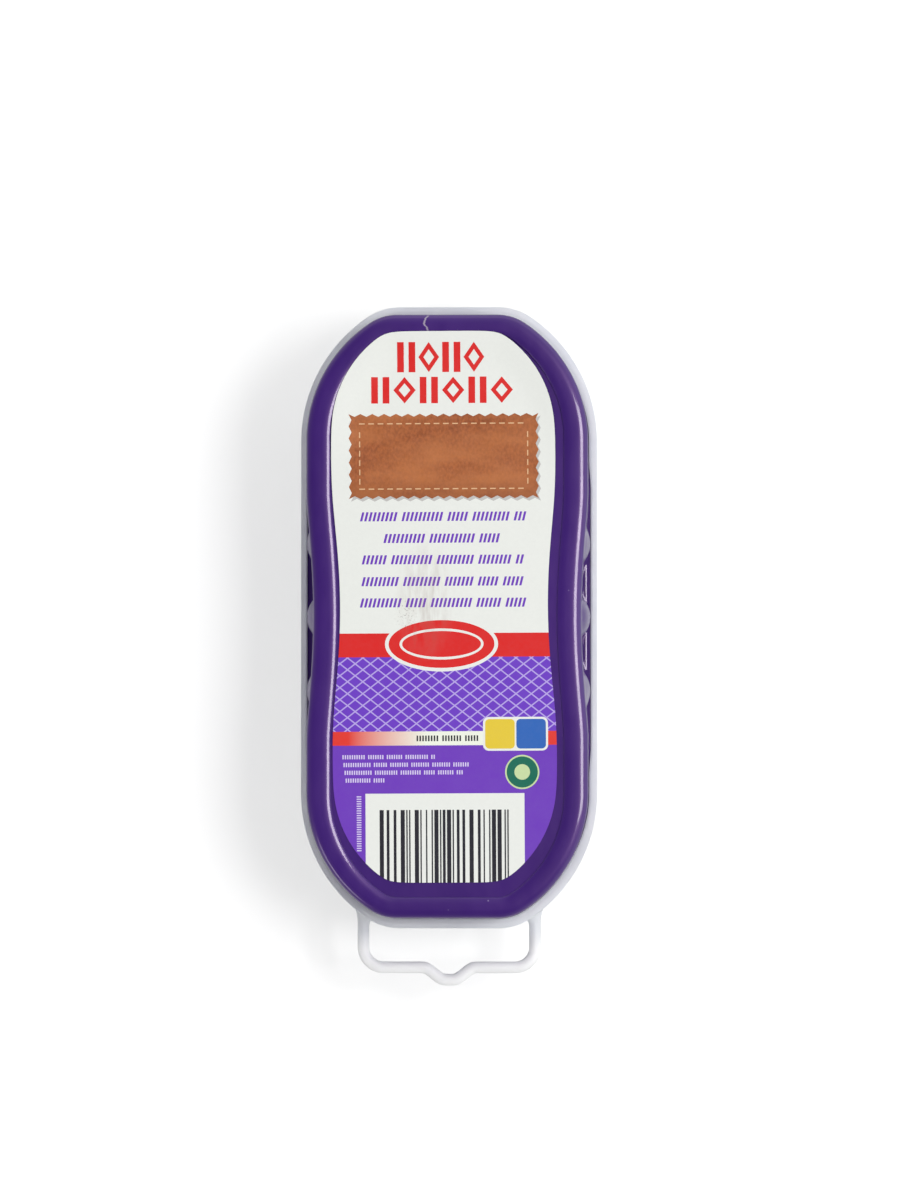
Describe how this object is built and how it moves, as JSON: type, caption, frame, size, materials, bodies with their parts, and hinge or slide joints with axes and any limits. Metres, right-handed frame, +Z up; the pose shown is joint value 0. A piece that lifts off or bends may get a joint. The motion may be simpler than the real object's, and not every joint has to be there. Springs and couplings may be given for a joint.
{
  "type": "suede sponge",
  "caption": "Oblong suede cleaning sponge: a waisted handle with a recessed label panel over a foam block with a nubbed rubber face, in a frosted case with a hanging loop.",
  "frame": {"origin": "middle of the case's flat base", "axes": "+Z up from the case's base to the label, +Y along the length away from the hanging loop, +X across"},
  "size_m": [0.058, 0.1328, 0.038],
  "materials": {
    "case": "frosted see-through polypropylene",
    "handle": "satin moulded plastic, deep violet",
    "label": "printed film",
    "carrier": "moulded plastic, grey",
    "adhesive": "double-sided tape",
    "foam": "open-cell foam, grey",
    "pad": "cut rubber foam, charcoal"
  },
  "bodies": {
    "case": {"case_lid": "case"},
    "sponge": {"handle_shell": "handle", "front_label": "label", "carrier_plate": "carrier", "adhesive_sheet": "adhesive", "foam_core": "foam", "nub_pad": "pad"}
  },
  "joints": [
    {"name": "sponge_lift", "type": "slide", "parent": "case", "child": "sponge", "axis": [0, 0, 1], "range_m": [0, 0.045]}
  ]
}
